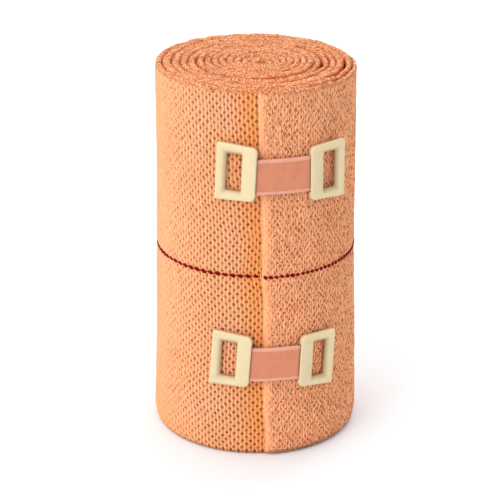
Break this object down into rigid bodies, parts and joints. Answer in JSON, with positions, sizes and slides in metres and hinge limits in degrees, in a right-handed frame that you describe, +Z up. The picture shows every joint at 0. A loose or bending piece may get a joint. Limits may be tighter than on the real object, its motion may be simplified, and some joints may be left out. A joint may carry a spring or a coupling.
{
  "type": "crepe bandage roll",
  "caption": "Elastic crepe bandage wound into an upright roll, its loose end held down by clips, each an elastic strap between metal frames.",
  "frame": {"origin": "middle of the part's foot, on the surface it stands on", "axes": "+Z up along the roll, which stands on its end; the loose end of the cloth and the clips face -Y"},
  "size_m": [0.054, 0.0554, 0.1],
  "materials": {
    "crepe_cloth": "matt salmon crepe with small holes between its ribs",
    "strap_elastic": "satin pink elastic webbing with paler selvedges",
    "frame_paint": "smooth cream paint, softly glossy"
  },
  "bodies": {
    "root": {"bandage_roll": "crepe_cloth", "upper_strap": "strap_elastic", "lower_strap": "strap_elastic", "upper_left_frame": "frame_paint", "upper_right_frame": "frame_paint", "lower_left_frame": "frame_paint", "lower_right_frame": "frame_paint"}
  },
  "joints": []
}
